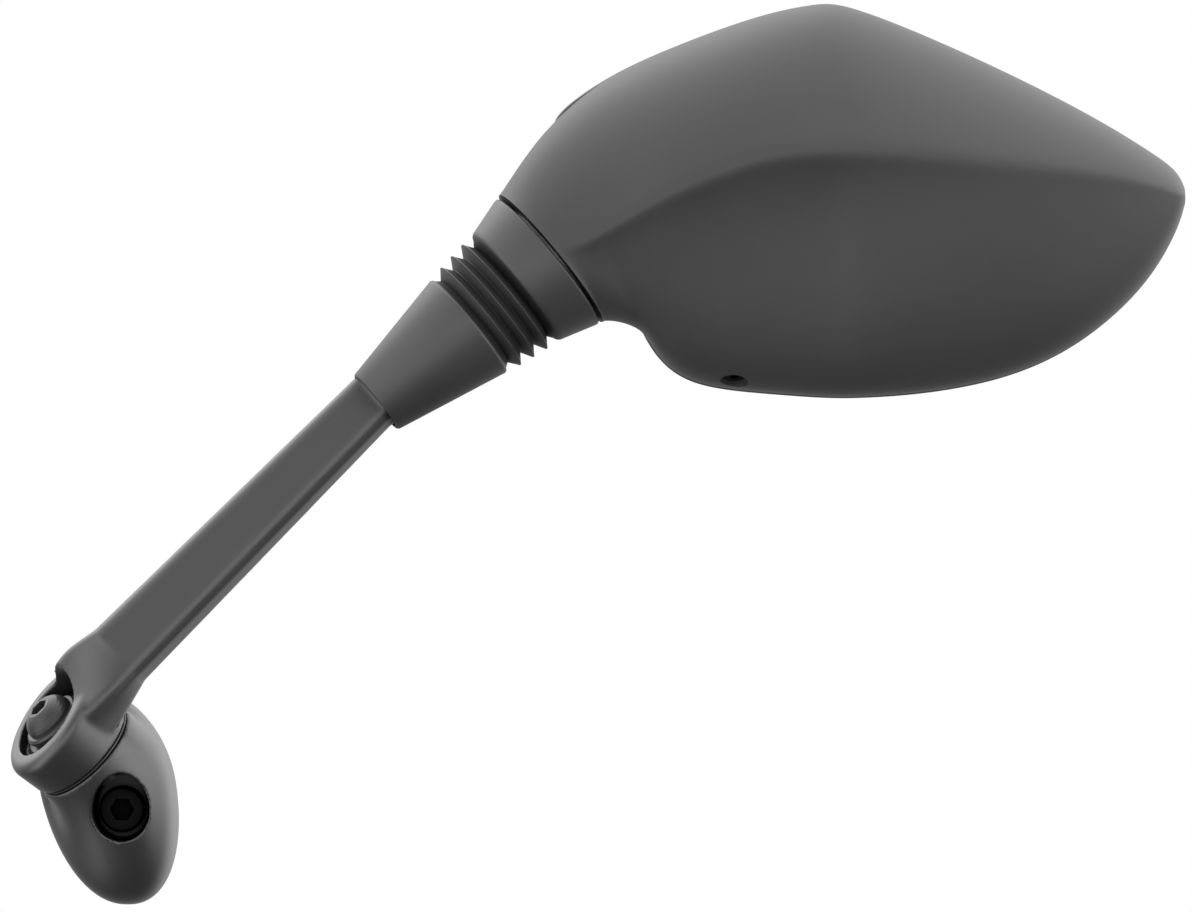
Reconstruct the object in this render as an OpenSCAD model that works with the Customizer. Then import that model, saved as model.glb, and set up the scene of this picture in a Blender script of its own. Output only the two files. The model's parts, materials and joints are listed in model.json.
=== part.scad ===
// Motorcycle mirror on a folding stem.
// X runs right and Z up in the plane of the housing, -Y is the side of the domed
// housing and +Y the side of the glass. The origin is the centre of the fixing
// hole, on the flat back of the mounting foot.

/* [Mounting foot] */
// Half width of the foot's back face
foot_half_w = 19.4; // [17:0.2:20]
// Height of the foot's back face above its widest line
foot_up = 25.6; // [24:0.2:28]
// Depth of the foot's back face below its widest line
foot_down = 35.2; // [33:0.2:38]
// How far the foot's back face leans left for each mm of height
foot_lean = 0.17; // [0:0.01:0.25]
// Thread diameter of the fixing screw
fix_d = 8; // [6:1:10]
// How far the fixing screw stands out of the foot's back
fix_out = 18; // [12:1:30]
// Width of the pocket for the fixing screw's head
fix_pocket_w = 16; // [14:0.5:18]
// How much taller than wide that pocket is
fix_pocket_rise = 2.5; // [0:0.5:4]
// Thickness of metal under the fixing screw's head
fix_floor = 7; // [4:0.5:10]

/* [Pivot] */
// Thread diameter of the pivot screw
pivot_d = 8; // [6:1:10]
// Depth of the thread in the foot
pivot_thread = 11; // [8:0.5:12]
// Lean of the pivot axis out of the housing's plane
pivot_lean = 23; // [15:1:30]
// Distance of the pivot seat's centre left of the fixing hole
seat_left = 10.4; // [8:0.2:12]
// Distance of the pivot seat's centre above the fixing hole
seat_up = 16.3; // [15:0.2:18]
// Distance of the pivot seat's centre in front of the foot's back
seat_out = 17; // [16:0.5:20]
// Radius of the pivot seat
seat_r = 16.5; // [15:0.5:18]
// Thickness of the friction washer
friction_t = 0.8; // [0.5:0.1:1.5]
// Wall of the bush in the eye
bush_wall = 1.5; // [1:0.1:2]
// Radius of the flat washer
washer_r = 10; // [9:0.5:11]
// Thickness of the flat washer
washer_t = 1.2; // [1:0.1:2]

/* [Arm] */
// Rise of the stem from the horizontal
stem_rise = 45; // [35:1:55]
// Radius of the eye at its outer end
eye_r = 17.6; // [16.5:0.2:19]
// Height of the eye at the pivot axis
eye_h = 15.4; // [14:0.2:17]
// Slope of the eye's outer face
eye_slope = 9; // [0:1:12]
// Rounding of the eye's edge
eye_edge = 2.6; // [1:0.2:4]
// Radius of the pocket for the pivot screw's head
pocket_r = 12.4; // [11.5:0.2:13.5]
// Height of the pocket's floor above the pivot seat
pocket_floor = 10.2; // [9:0.2:12]
// Width of the stem at its foot end
stem_w = 19; // [18:0.2:23]
// Width of the stem at the boot
stem_w_end = 15.8; // [15:0.2:17.4]
// Thickness of the stem at its foot end
stem_t = 12; // [11:0.2:15]
// Thickness of the stem at the boot
stem_t_end = 10.2; // [9:0.2:12]
// Distance along the stem from the pivot axis to the ball
ball_reach = 168.4; // [140:1:200]

/* [Ball joint] */
// Radius of the ball
ball_r = 8.5; // [8:0.1:9]
// Thickness of the ball's liner
liner_t = 1.1; // [0.8:0.1:1.4]
// Outer radius of the ball's seats
cup_r = 10.8; // [10.6:0.1:11.2]
// Outer radius of the socket tube
tube_r = 12.8; // [12.5:0.1:13]
// Radius of the stud's thread
stud_r = 5; // [4:0.5:6]
// Length of the stud's thread
stud_thread = 14; // [10:1:18]
// Angle of the boot's axis from the horizontal
boot_rise = 39.3; // [35:0.1:45]
// Turn of the boot's axis away from the domed side
boot_turn = 7.8; // [0:0.1:12]

/* [Boot] */
// Radius of the sleeve at the stem
sleeve_r = 9.8; // [9.6:0.1:11]
// Radius of the sleeve at the folds
sleeve_r_end = 16.6; // [15.5:0.1:17.5]
// Length of the sleeve
sleeve_l = 34.2; // [30:0.2:38]
// Number of folds
folds = 3; // [2:1:4]
// Distance from fold to fold
fold_pitch = 4.3; // [3.5:0.1:5]
// Depth of a fold
fold_depth = 2.9; // [1.5:0.1:3]
// Wall of the folds
fold_wall = 1.1; // [0.8:0.1:1.3]
// Radius of the collar at the folds
collar_r = 19.3; // [18.5:0.1:20.5]
// Radius of the collar at the housing
collar_r_end = 22.3; // [21:0.1:23]
// Length of the collar
collar_l = 12.2; // [10:0.2:14]

/* [Housing] */
// Radius of the neck at the boot
neck_r = 22.8; // [20.5:0.1:23]
// Gap between the boot and the neck
neck_gap = 1; // [0.6:0.1:2]
// Depth of the housing's rim behind the ball
rim_back = 29; // [26:0.5:32]
// Depth of the straight side wall at the rim
rim_side = 13; // [9:0.5:16]
// Wall of the housing
shell_wall = 2.8; // [2:0.1:4]
// Width of the rim round the glass
rim_w = 3; // [2:0.1:4]
// Width of the ledge that the glass carrier rests on
ledge_w = 2.6; // [2:0.1:4]
// Radius of the recess of the carrier's screw
recess_r = 4; // [3.5:0.1:4.5]

/* [Glass] */
// Thickness of the mirror glass
glass_t = 2; // [1.8:0.1:3]
// Depth of the glass below the rim
glass_inset = 1.4; // [0.8:0.1:2]
// Thickness of the adhesive pad
pad_t = 1; // [0.5:0.1:1.5]
// Thickness of the glass carrier
carrier_t = 2.2; // [1.8:0.1:3]

/* [Hidden] */
$fn = 64;

// clearances: loose between pieces that move, fit on shafts, seat on pieces that rest
loose = 0.3;
fit = 0.06;
seat = 0.05;
ball_play = 0.1;

seat_pos = [-seat_left, -seat_out, seat_up];
head_axis_start = sleeve_l + 8;

// Small vector helpers
function unit(v) = v / norm(v);
function mix(a, b, t) = a + (b - a) * t;
function ease(t) = let (c = min(max(t, 0), 1)) c * c * (3 - 2 * c);
function bez(a, b, c, d, t) =
    a * pow(1 - t, 3) + 3 * b * t * pow(1 - t, 2) + 3 * c * t * t * (1 - t) + d * pow(t, 3);
function turn_x(p, a) = [p.x, p.y * cos(a) - p.z * sin(a), p.y * sin(a) + p.z * cos(a)];
function turn_y(p, a) = [p.x * cos(a) + p.z * sin(a), p.y, -p.x * sin(a) + p.z * cos(a)];
function turn_z(p, a) = [p.x * cos(a) - p.y * sin(a), p.x * sin(a) + p.y * cos(a), p.z];

// A smooth curve that leans on the points of a list, at t from 0 to its last index
function through(p, t) = let (
    last = len(p) - 1,
    i = min(max(floor(t), 0), last - 1),
    f = t - i,
    a = i > 0 ? p[i - 1] : 2 * p[0] - p[1],
    b = p[i],
    c = p[i + 1],
    d = i < last - 1 ? p[i + 2] : 2 * p[last] - p[last - 1])
    (a * pow(1 - f, 3) + b * (3 * pow(f, 3) - 6 * f * f + 4)
        + c * (3 * f + 3 * f * f - 3 * pow(f, 3) + 1) + d * pow(f, 3)) / 6;

// The points of a list moved out, so that the smooth curve comes near the old ones
function led(p) = let (last = len(p) - 1) [for (i = [0 : last])
    i == 0 || i == last ? p[i] : p[i] - (p[i - 1] - 2 * p[i] + p[i + 1]) / 7];

// A closed smooth curve through the points of a list, with n steps from each to the next
function closed_through(p, n) = let (m = len(p)) [for (i = [0 : m - 1], k = [0 : n - 1])
    through([p[(i + m - 1) % m], p[i], p[(i + 1) % m], p[(i + 2) % m]], 1 + k / n)];

// A solid through rings that all have the same number of points
module loft(rings) {
    n = len(rings);
    m = len(rings[0]);
    polyhedron(
        points = [for (r = rings, p = r) p],
        faces = concat(
            [[for (j = [0 : m - 1]) j]],
            [for (i = [0 : n - 2], j = [0 : m - 1], side = [0, 1]) let (
                a = i * m + j, b = i * m + (j + 1) % m, c = a + m, d = b + m)
                side == 0 ? [a, d, b] : [a, c, d]],
            [[for (j = [m - 1 : -1 : 0]) (n - 1) * m + j]]));
}

// Pivot frame: X along the stem, Z out of the pivot screw's head, Y away from the domed side
function from_pivot(p) = seat_pos + turn_y(turn_x(p, pivot_lean), -stem_rise);
module at_pivot() {
    translate(seat_pos) rotate([0, -stem_rise, 0]) rotate([pivot_lean, 0, 0]) children();
}

// Ball frame: Z along the boot towards the housing, the ball's centre at the origin
ball_set = -7.4;
ball_lift = 10.8;
ball_pos = from_pivot([ball_reach, ball_set, ball_lift]);
function boot_dir(p) = turn_z(turn_y(turn_y(p, 90), -boot_rise), boot_turn);
module at_ball() {
    translate(ball_pos) rotate([0, -boot_rise, boot_turn]) rotate([0, 90, 0]) children();
}

// Foot

foot_centre = [-5, 8];
fix_pocket_r = fix_pocket_w / 2;

// A point on the outline of the foot's back face
function foot_edge(angle) = let (
    z = (sin(angle) > 0 ? foot_up : foot_down) * sin(angle),
    w = foot_half_w * sign(cos(angle)) * pow(abs(cos(angle)), sin(angle) > 0 ? 1 : 0.9))
    [foot_centre.x + w - foot_lean * z, 0, foot_centre.y + z];

// One rib of the foot's skin, from the pivot seat to the back face
function foot_rib(angle, t) = let (
    start = from_pivot([seat_r * cos(angle), seat_r * sin(angle), 0]),
    down = from_pivot([0, 0, -1]) - seat_pos,
    near = pow(sin((angle - 90) / 2), 2),
    pull = min(3 + 19 * near, -0.7 * start.y / down.y),
    end = foot_edge(angle + stem_rise))
    bez(start, start + down * pull, end - [0, 1.5 + 17 * near, 0], end, t);

module foot_skin() {
    steps = 10;
    loft([for (k = [0 : steps]) [for (a = [0 : 8 : 352]) foot_rib(-a, k / steps)]]);
}

module foot() {
    color([0.13, 0.13, 0.13]) difference() {
        foot_skin();
        // hole and pocket for the fixing screw
        rotate([90, 0, 0]) {
            translate([0, 0, -1]) cylinder(d = fix_d + 0.5, h = seat_out * 3);
            translate([0, 0, fix_floor]) fix_pocket(seat_out * 3);
        }
        // thread for the pivot screw
        at_pivot() translate([0, 0, -pivot_thread])
            cylinder(r = pivot_d / 2 + seat, h = pivot_thread + 1);
    }
}

// The pocket is round below and narrows upwards
module fix_pocket(h) {
    linear_extrude(h) polygon([for (a = [0 : 10 : 350])
        [fix_pocket_r * cos(a) * (1 - 0.08 * sin(a)),
            fix_pocket_r * sin(a) + fix_pocket_rise * (0.35 + 0.65 * sin(a))]]);
}

// Socket-head screw that comes out of the foot's back
module fixing_screw() {
    head = fix_d;
    color([0.08, 0.08, 0.08]) rotate([90, 0, 0]) difference() {
        union() {
            translate([0, 0, fix_floor + seat]) rotate_extrude() polygon([[0, 0], [fix_d * 0.81, 0],
                [fix_d * 0.81, head - 0.8], [fix_d * 0.81 - 0.8, head], [0, head]]);
            translate([0, 0, -fix_out]) cylinder(d = fix_d, h = fix_out);
            translate([0, 0, -1]) cylinder(d = fix_d - 1, h = fix_floor + 2);
            translate([0, 0, -fix_out - 1]) cylinder(d1 = fix_d - 2, d2 = fix_d, h = 1);
        }
        translate([0, 0, fix_floor + head / 2])
            cylinder(r = fix_d * 0.375 * hex_corner, h = head, $fn = 6);
    }
}

// Pivot

bush_r = pivot_d / 2 + fit + bush_wall;
spring_h = 1;
head_seat = pocket_floor + washer_t + loose + spring_h;
flange_r = 8.9;
flange_t = 1.6;
dome_r = 7.4;
dome_h = 4.8;
socket_af = 5;
hex_corner = 1 / cos(30);

module ring(r_out, r_in, h) {
    difference() {
        cylinder(r = r_out, h = h);
        translate([0, 0, -1]) cylinder(r = r_in, h = h + 2);
    }
}

module friction_washer() {
    color([0.05, 0.05, 0.05]) at_pivot() translate([0, 0, loose])
        ring(seat_r - 0.6, pivot_d / 2 + fit, friction_t - loose - seat);
}

module pivot_bush() {
    color([0.75, 0.73, 0.68]) at_pivot() translate([0, 0, friction_t])
        ring(bush_r, pivot_d / 2 + fit, pocket_floor - friction_t);
}

module bolt_washer() {
    color([0.3, 0.3, 0.31]) at_pivot() translate([0, 0, pocket_floor + seat])
        ring(washer_r, pivot_d / 2 + fit, washer_t - seat);
}

// A conical ring, as a spring washer is
module cone_ring(r_out, r_in, h, t) {
    rotate_extrude() polygon([[r_in, h - t], [r_out, 0], [r_out, t], [r_in, h]]);
}

module spring_washer() {
    color([0.35, 0.35, 0.36]) at_pivot() translate([0, 0, pocket_floor + washer_t + loose])
        cone_ring(flange_r - 0.4, pivot_d / 2 + fit, spring_h - seat, 0.6);
}

module pivot_bolt() {
    shank = head_seat + pivot_thread - 0.5;
    color([0.16, 0.16, 0.17]) at_pivot() difference() {
        union() {
            translate([0, 0, head_seat]) rotate_extrude() polygon(concat(
                [[0, 0], [flange_r, 0], [flange_r, flange_t * 0.6], [flange_r - 0.6, flange_t],
                    [dome_r, flange_t]],
                [for (a = [10 : 10 : 60]) [dome_r * cos(a), flange_t + dome_h * sin(a) / sin(60)]],
                [[0, flange_t + dome_h]]));
            translate([0, 0, head_seat - shank]) cylinder(d = pivot_d, h = shank);
        }
        translate([0, 0, head_seat + flange_t])
            cylinder(r = socket_af / 2 * hex_corner, h = dome_h + 1, $fn = 6);
    }
}

// Arm

stem_roll = 49;
root_d = 26;
plug_top = -14.2;
plug_r_end = 11.4;
plug_r = 8.2;
stem_end = ball_reach - 40.4;

// Corners of the arm's section at the eye and at the stem's root: near edge and far edge
// of the broad face, then the same two on the side towards the foot
eye_keys = [
    [[-14, 14.6], [12, 15], [12, 3], [-14, 2]],
    [[-15.6, 15], [11, 19.5], [13.5, 4.5], [-15, 2]],
    [[-17, 14.6], [6.5, 24.6], [11, 9], [-13.6, 2.4]],
    [[-17.8, 13.6], [0.5, 27.4], [7.6, 14.5], [-11, 3]]];

// Corners of the stem's straight part at distance d from the pivot axis
function stem_corners(d) = let (
    f = (d - root_d) / (stem_end - root_d),
    w = mix(stem_w, stem_w_end, f) / 2, t = mix(stem_t, stem_t_end, f) / 2,
    c = [mix(-6.5, -9.4, f), mix(15.8, 17, f)],
    e = [cos(stem_roll), sin(stem_roll)], n = [-e.y, e.x])
    [c - w * e + t * n, c + w * e + t * n, c + w * e - t * n, c - w * e - t * n];

root_first = -3;
function arm_corners(d) = d >= root_d ? stem_corners(d) : let (
    keys = concat(eye_keys, [stem_corners(root_d), stem_corners(root_d * 2)]),
    k = (d - root_first) / (root_d - root_first) * 4)
    [for (i = [0 : 3]) through([for (q = keys) q[i]], k)];

// A four-sided outline with round corners, five points at each
function round_quad(q, grow) = let (m = [q[0] + q[1] + q[2] + q[3]][0] / 4)
    [for (i = [0 : 3]) let (
        c = q[i] + grow * 1.4 * unit(q[i] - m), a = q[(i + 3) % 4] - q[i], b = q[(i + 1) % 4] - q[i],
        r = i == 1 ? 5 : 3.2,
        ra = min(r, norm(a) * 0.42), rb = min(r, norm(b) * 0.42))
        for (t = [0 : 0.25 : 1]) c + unit(a) * ra * pow(1 - t, 2) + unit(b) * rb * t * t];

function stem_ring(d, grow) = let (q = round_quad(arm_corners(d), grow))
    [for (i = [len(q) - 1 : -1 : 0]) [d, q[i].x, q[i].y]];

module stem(grow) {
    loft([for (d = concat([for (k = [0 : 9]) mix(root_first, root_d, k / 10)],
        [for (k = [0 : 5]) mix(root_d, stem_end, k / 5)])) stem_ring(d, grow)]);
}

// The eye flares a little, and its outer face slopes down away from the stem
module eye() {
    rims = [for (a = [0 : 22.5 : 90]) [eye_r - eye_edge * (1 - cos(a)), eye_edge * (sin(a) - 1)]];
    loft([for (q = concat([[seat_r - 0.4, 0, 0], [seat_r, 0.03, 0]], [for (m = rims) [m.x, 1, m.y]]))
        [for (a = [0 : 6 : 354]) let (top = eye_h + q.x * cos(a) * tan(eye_slope))
            [q.x * cos(a), q.x * sin(a), mix(friction_t, top, q.y) + q.z]]]);
}

module arm() {
    color([0.13, 0.13, 0.13]) difference() {
        union() {
            at_pivot() {
                eye();
                stem(0);
            }
            at_ball() translate([0, 0, -head_axis_start - 3])
                cylinder(r1 = plug_r, r2 = plug_r_end, h = head_axis_start + 3 + plug_top);
        }
        at_pivot() {
            translate([0, 0, pocket_floor]) cylinder(r = pocket_r, h = 40);
            cylinder(r = bush_r + seat, h = 40);
        }
        at_ball() translate([0, 0, plug_top - stud_thread - 2])
            cylinder(r = stud_r + seat, h = stud_thread + 10);
    }
}

// Ball joint

liner_in = ball_r + ball_play;
liner_out = liner_in + liner_t;
cup_in = liner_out + ball_play;
lip_z = -5.2;
cup_low = -4.4;
cup_gap = 0.8;
cup_top = cup_in + 1.6;
stud_neck_r = 4.4;
hex_af = 13;
hex_top = -11;
spring_top = cup_top + 3;
plug_h = 5;
drum_start = 10.4;
drum_r = 16;
neck_start = 8 + collar_l + neck_gap;
flange_start = neck_start + 0.6;
bracket_flange_r = neck_r - 3.6;
bracket_flange_t = 3.4;
bore_r = cup_r + 0.1;

module ball_stud() {
    color([0.55, 0.55, 0.57]) at_ball() {
        sphere(r = ball_r);
        translate([0, 0, hex_top]) cylinder(r = stud_neck_r, h = -hex_top - 2);
        translate([0, 0, plug_top + seat])
            cylinder(r = hex_af / 2 * hex_corner, h = hex_top - plug_top - seat, $fn = 6);
        translate([0, 0, plug_top - stud_thread]) cylinder(r = stud_r, h = stud_thread + 1);
    }
}

module ball_liner() {
    slit = 1.6;
    color([0.85, 0.84, 0.8]) at_ball() difference() {
        intersection() {
            sphere(r = liner_out);
            translate([0, 0, cup_low]) cylinder(r = 20, h = 6.2 - cup_low);
        }
        sphere(r = liner_in);
        translate([0, -slit / 2, -20]) cube([20, slit, 40]);
    }
}

module ball_cup_lower() {
    color([0.8, 0.8, 0.76]) at_ball() difference() {
        translate([0, 0, cup_low]) cylinder(r = cup_r, h = -cup_gap - cup_low);
        sphere(r = cup_in);
    }
}

module ball_cup_upper() {
    color([0.8, 0.8, 0.76]) at_ball() difference() {
        translate([0, 0, cup_gap]) cylinder(r = cup_r, h = cup_top - cup_gap);
        sphere(r = cup_in);
    }
}

module ball_spring() {
    color([0.4, 0.4, 0.42]) at_ball() translate([0, 0, cup_top + seat])
        cone_ring(cup_r - 0.5, 4.2, spring_top - cup_top - 2 * seat, 1.2);
}

module spring_plug() {
    color([0.5, 0.5, 0.52]) at_ball() translate([0, 0, spring_top]) difference() {
        cylinder(r = bore_r - seat, h = plug_h);
        translate([0, 0, 1.5]) cylinder(r = 5 * hex_corner, h = plug_h, $fn = 6);
    }
}

bracket_screw_pcd = 27;
bracket_screw_r = 1.5;

module bracket_holes(r, h) {
    for (k = [0 : 2]) rotate([0, 0, 30 + 120 * k])
        translate([bracket_screw_pcd / 2, 0, 0]) cylinder(r = r, h = h);
}

module socket_bracket() {
    top = flange_start + bracket_flange_t;
    color([0.45, 0.45, 0.46]) at_ball() difference() {
        union() {
            translate([0, 0, lip_z]) cylinder(r = tube_r, h = top - lip_z);
            translate([0, 0, drum_start]) cylinder(r = drum_r, h = top - drum_start);
            translate([0, 0, flange_start]) cylinder(r = bracket_flange_r, h = bracket_flange_t);
        }
        translate([0, 0, cup_low - loose]) cylinder(r = bore_r, h = 60);
        translate([0, 0, lip_z - 1]) cylinder(r = 9.4, h = 10);
        translate([0, 0, top - 8]) bracket_holes(bracket_screw_r + seat, 20);
    }
}

module bracket_screws() {
    z = flange_start + bracket_flange_t + 4;
    color([0.5, 0.5, 0.52]) at_ball() for (k = [0 : 2]) rotate([0, 0, 30 + 120 * k])
        translate([bracket_screw_pcd / 2, 0, z]) difference() {
            union() {
                translate([0, 0, seat]) cylinder(r = 2.75, h = 2);
                translate([0, 0, -11.5]) cylinder(r = bracket_screw_r, h = 12);
            }
            translate([0, 0, 1]) cylinder(r = 1.2, h = 1.4, $fn = 6);
        }
}

// Boot

fold_root = -8;
fold_end = 8;
collar_end = fold_end + collar_l;
crest_start_r = 17.5;
crest_end_r = 18.7;

// Outer profile of the folds: crest, root, crest
function fold_profile(drop) = let (first = -(folds - 1) / 2 * fold_pitch)
    [for (k = [0 : 2 * folds - 2]) let (
        z = first + k * fold_pitch / 2,
        crest = mix(crest_start_r, crest_end_r, k / (2 * folds - 2)))
        [crest - (k % 2 == 0 ? 0 : fold_depth) - drop, z]];

module boot() {
    color([0.1, 0.1, 0.1]) difference() {
        at_ball() rotate_extrude() polygon(concat(
            // outside, from the stem to the housing
            [[sleeve_r - 0.5, -head_axis_start], [sleeve_r, -head_axis_start + 0.5],
                [sleeve_r_end - 0.25, fold_root - 1.6], [sleeve_r_end - 0.4, fold_root - 0.5],
                [sleeve_r_end - 1.2, fold_root], [crest_start_r - fold_depth, fold_root + 1.4]],
            fold_profile(0),
            [[crest_end_r - fold_depth, fold_end - 1.6], [collar_r - 1.4, fold_end],
                [collar_r - 0.3, fold_end + 0.5], [collar_r, fold_end + 1.4],
                [collar_r_end, collar_end - 0.7], [collar_r_end - 0.6, collar_end]],
            // inside, back to the stem
            [[drum_r + seat, collar_end], [drum_r + seat, drum_start - 0.8],
                [crest_end_r - fold_depth - fold_wall, fold_end - 1.2]],
            [for (p = [for (k = [2 * folds - 2 : -1 : 0]) fold_profile(fold_wall * 1.15)[k]]) p],
            [[crest_start_r - fold_depth - fold_wall, fold_root + 1],
                [sleeve_r_end - 2.4, fold_root - 1], [plug_r_end + 0.4, plug_top + 0.2],
                [plug_r_end + seat, plug_top - 0.6],
                [plug_r + 0.2, -head_axis_start]]));
        at_pivot() stem(0.1);
    }
}

// Housing
// Three rails run from the neck to the tip: the top edge, the crease of the dome
// and the bottom edge. They are measured from the ball's centre.

top_rail = [[4.9, 36.2], [8.4, 41.2], [18.7, 53.3], [32, 63.9], [48.1, 71.8], [72.3, 80.9],
    [87, 84.2], [94.7, 84.9], [103, 82.9], [117.1, 77.6], [141.6, 66.7], [166.4, 54.1],
    [182.1, 44.6], [190.6, 38.6], [193.2, 33.8]];
bottom_rail = [[30.8, -5], [37.6, -4.9], [42.8, -7.9], [47.3, -14.8], [57.5, -21.3], [76.1, -23.6],
    [90, -24.7], [97, -24.9], [104, -24.8], [121.6, -23.5], [144, -19], [164.1, -9.6],
    [181.6, 5.7], [190.6, 20.3], [193.3, 28.3]];
crease_rail = [[17.7, -19.2, 15.3], [23.6, -21.3, 15.8], [31.6, -22.6, 20.4], [39.6, -23.8, 25],
    [52.1, -24.8, 31.7], [73.8, -25.3, 39.9], [88, -25.2, 41.8], [95.6, -25, 42.2],
    [103.5, -24.7, 42.3], [119.1, -23.2, 41.7], [142.7, -19.5, 39.2], [165.4, -13.2, 36.8],
    [181.9, -5.8, 34.1], [190.6, 0.5, 31.3], [193.1, 5, 31]];
last_rail = len(top_rail) - 1;
top_led = led(top_rail);
bottom_led = led(bottom_rail);
crease_led = led(crease_rail);
neck_rail = 2;

up_steps = 9;
down_steps = 11;
back_steps = 8;

// Depth of the edges: on the neck's middle, then on the side wall of the rim
function edge_depth(s) = mix(2.2, rim_back - rim_side, ease((s - 0.4) / 3));
// How steeply the dome falls back above and below the crease
function fall_up(s) = mix(0, 0.42, ease(s / 3));
function fall_down(s) = mix(0.3, 1.02, ease(s / 2)) - 0.76 * ease((s - 6) / 5);

// One point on the front of the dome, j from the top edge to the bottom edge
function dome_point(s, j, drop) = let (
    yt = edge_depth(s) + drop,
    t2 = through(top_led, s), b2 = through(bottom_led, s), c = through(crease_led, s) + [0, drop, 0],
    mid = [c.x, c.z],
    t = t2 + unit(mid - t2) * drop, b = b2 + unit(mid - b2) * drop,
    up = t - mid, down = b - mid)
    j <= up_steps
    ? bez([t.x, yt, t.y], [t.x, mix(yt, c.y, 0.55), t.y],
        c + 0.38 * norm(up) * [unit(up).x, fall_up(s), unit(up).y], c, j / up_steps)
    : bez(c, c + 0.25 * norm(down) * [unit(down).x, fall_down(s), unit(down).y],
        [b.x, mix(yt, c.y, 0.78), b.y], [b.x, yt, b.y], (j - up_steps) / down_steps);

// One point on the back: round behind the neck, flat behind the glass
function back_point(s, j, back) = let (
    t = through(top_led, s), b = through(bottom_led, s), yt = edge_depth(s),
    f = j / back_steps,
    flat = [mix(b.x, t.x, (j - 1) / (back_steps - 2)), back, mix(b.y, t.y, (j - 1) / (back_steps - 2))],
    mid = (t + b) / 2, half = (t - b) / 2,
    round = [mid.x - half.x * cos(180 * f), yt + (rim_back - 4.5 - yt) * sin(180 * f),
        mid.y - half.y * cos(180 * f)])
    mix(round, flat, s < neck_rail - 0.1 ? 0 : 1);

// The circle where the neck begins
function neck_point(a, along) = boot_dir([0, 0, neck_start + along])
    + neck_r * (cos(a) * unit([-sin(boot_rise), 0, cos(boot_rise)])
        + sin(a) * unit(cross(boot_dir([0, 0, 1]), unit([-sin(boot_rise), 0, cos(boot_rise)]))));

function housing_ring(s) = let (w = ease(s / 1.6), along = 2 * s)
    concat(
        [for (j = [0 : up_steps + down_steps]) mix(
            neck_point(j <= up_steps ? 90 * j / up_steps : 90 + 90 * (j - up_steps) / down_steps, along),
            dome_point(s, j, 0), w)],
        [for (j = [1 : back_steps - 1]) mix(
            neck_point(180 + 180 * j / back_steps, along), back_point(s, j, rim_back - 1), w)]);

// Stations lie close together along the neck
housing_stations = [for (k = [0 : 34]) k < 12 ? k / 4 : (k - 6) / 2];

module housing_solid() {
    loft([for (s = housing_stations) [for (p = housing_ring(s)) ball_pos + p]]);
}

// Outline of the rim, which closes the leaf behind the neck
rim_left = [[41, -4.8], [33.5, 13], [25.5, 31], [18.9, 45.6], [16.6, 50.2], [18.4, 55]];
rim_outline = closed_through(concat(
    [for (i = [3 : last_rail]) top_led[i]],
    [for (i = [last_rail : -1 : 3]) bottom_led[i]],
    rim_left), 4);

// A plate of the rim's outline, moved in by d, from depth y0 to depth y1 behind the ball
module rim_plate(d, y0, y1) {
    translate(ball_pos + [0, y1, 0]) rotate([90, 0, 0])
        linear_extrude(y1 - y0) offset(delta = -d) polygon(rim_outline);
}

ledge_y = rim_back - glass_inset - glass_t - pad_t - carrier_t;
ledge_t = 2.4;
web_t = 4;
web_top = flange_start + bracket_flange_t + web_t;
screw_pos = [67.4, 6, -20.2];
screw_tilt = 25.5;
screw_r = 1.6;

// Hollow of the housing, a wall's thickness inside its skin
module housing_hollow() {
    w = shell_wall;
    loft([for (s = [2.3 : 0.56 : last_rail - 0.5]) let (
        t = through(top_led, s), b = through(bottom_led, s), in = unit(b - t) * (w + 1.2),
        back = ledge_y - ledge_t)
        [for (p = concat([for (j = [0 : up_steps + down_steps]) dome_point(s, j, w)],
            [for (f = [0 : 0.25 : 1]) let (q = mix(b - in, t + in, f)) [q.x, back, q.y]])) ball_pos + p]]);
}

// The screw that holds the glass carrier points up and back into the housing
module at_screw() {
    translate(ball_pos + screw_pos) rotate([-screw_tilt, 0, 0]) children();
}

module housing_shell() {
    color([0.15, 0.15, 0.15]) difference() {
        union() {
            housing_solid();
            rim_plate(-0.4, rim_back - 5, rim_back);
        }
        housing_hollow();
        rim_plate(rim_w + ledge_w, ledge_y - ledge_t - 0.5, rim_back + 5);
        rim_plate(rim_w, ledge_y, rim_back + 5);
        at_ball() {
            translate([0, 0, neck_start - 5]) cylinder(r = bracket_flange_r + seat, h = 5.6 + bracket_flange_t);
            cylinder(r = 8.5, h = web_top + 2);
            translate([0, 0, web_top]) cylinder(r = 16.8, h = 12);
            bracket_holes(bracket_screw_r + 0.2, web_top + 2);
        }
        at_screw() {
            translate([0, 0, -20]) cylinder(r = recess_r, h = 20);
            translate([0, 0, -20]) cylinder(r = screw_r + 0.2, h = 34);
        }
    }
}

module mirror_glass() {
    color([0.8, 0.85, 0.9]) rim_plate(rim_w + 0.3, rim_back - glass_inset - glass_t, rim_back - glass_inset);
}

module adhesive_pad() {
    color([0.2, 0.2, 0.2]) rim_plate(rim_w + 3, ledge_y + carrier_t + 0.02, ledge_y + carrier_t + pad_t - 0.02);
}

module glass_carrier() {
    color([0.12, 0.12, 0.12]) difference() {
        union() {
            rim_plate(rim_w + 0.4, ledge_y + seat, ledge_y + carrier_t);
            // boss for the screw
            translate(ball_pos + screw_pos + [-5, 3, 3.5]) cube([10, ledge_y + 1 - screw_pos.y - 3, 12]);
        }
        at_screw() translate([0, 0, -20]) cylinder(r = screw_r + seat, h = 36);
    }
}

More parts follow.
